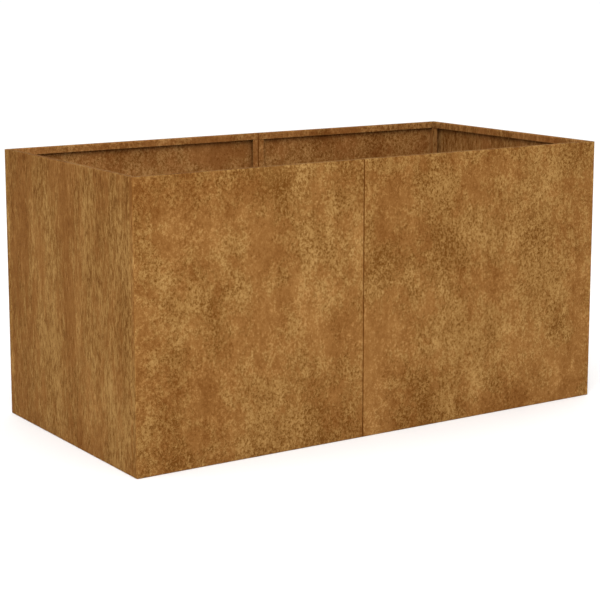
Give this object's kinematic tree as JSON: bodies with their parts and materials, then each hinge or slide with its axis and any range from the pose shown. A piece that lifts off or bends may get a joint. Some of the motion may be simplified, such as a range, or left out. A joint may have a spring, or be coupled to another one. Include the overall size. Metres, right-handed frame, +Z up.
{
  "type": "planter box",
  "caption": "Open rectangular planter of folded weathering-steel panels, bolted together inside through their hems.",
  "frame": {"origin": "centre of the base, on the surface that the box stands on", "axes": "+X along the length, -Y out of the front wall, +Z up"},
  "size_m": [0.8, 0.4, 0.4],
  "materials": {
    "weathering_steel": "matte",
    "fastener_steel": "satin"
  },
  "bodies": {
    "root": {"back_left_corner_lower_bolt": "fastener_steel", "back_left_corner_lower_nut": "fastener_steel", "back_left_corner_middle_bolt": "fastener_steel", "back_left_corner_middle_nut": "fastener_steel", "back_left_corner_upper_bolt": "fastener_steel", "back_left_corner_upper_nut": "fastener_steel", "back_left_panel": "weathering_steel", "back_right_corner_lower_bolt": "fastener_steel", "back_right_corner_lower_nut": "fastener_steel", "back_right_corner_middle_bolt": "fastener_steel", "back_right_corner_middle_nut": "fastener_steel", "back_right_corner_upper_bolt": "fastener_steel", "back_right_corner_upper_nut": "fastener_steel", "back_right_panel": "weathering_steel", "back_seam_lower_bolt": "fastener_steel", "back_seam_lower_nut": "fastener_steel", "back_seam_middle_bolt": "fastener_steel", "back_seam_middle_nut": "fastener_steel", "back_seam_upper_bolt": "fastener_steel", "back_seam_upper_nut": "fastener_steel", "front_left_corner_lower_bolt": "fastener_steel", "front_left_corner_lower_nut": "fastener_steel", "front_left_corner_middle_bolt": "fastener_steel", "front_left_corner_middle_nut": "fastener_steel", "front_left_corner_upper_bolt": "fastener_steel", "front_left_corner_upper_nut": "fastener_steel", "front_left_panel": "weathering_steel", "front_right_corner_lower_bolt": "fastener_steel", "front_right_corner_lower_nut": "fastener_steel", "front_right_corner_middle_bolt": "fastener_steel", "front_right_corner_middle_nut": "fastener_steel", "front_right_corner_upper_bolt": "fastener_steel", "front_right_corner_upper_nut": "fastener_steel", "front_right_panel": "weathering_steel", "front_seam_lower_bolt": "fastener_steel", "front_seam_lower_nut": "fastener_steel", "front_seam_middle_bolt": "fastener_steel", "front_seam_middle_nut": "fastener_steel", "front_seam_upper_bolt": "fastener_steel", "front_seam_upper_nut": "fastener_steel", "left_side_panel": "weathering_steel", "right_side_panel": "weathering_steel"}
  },
  "joints": []
}
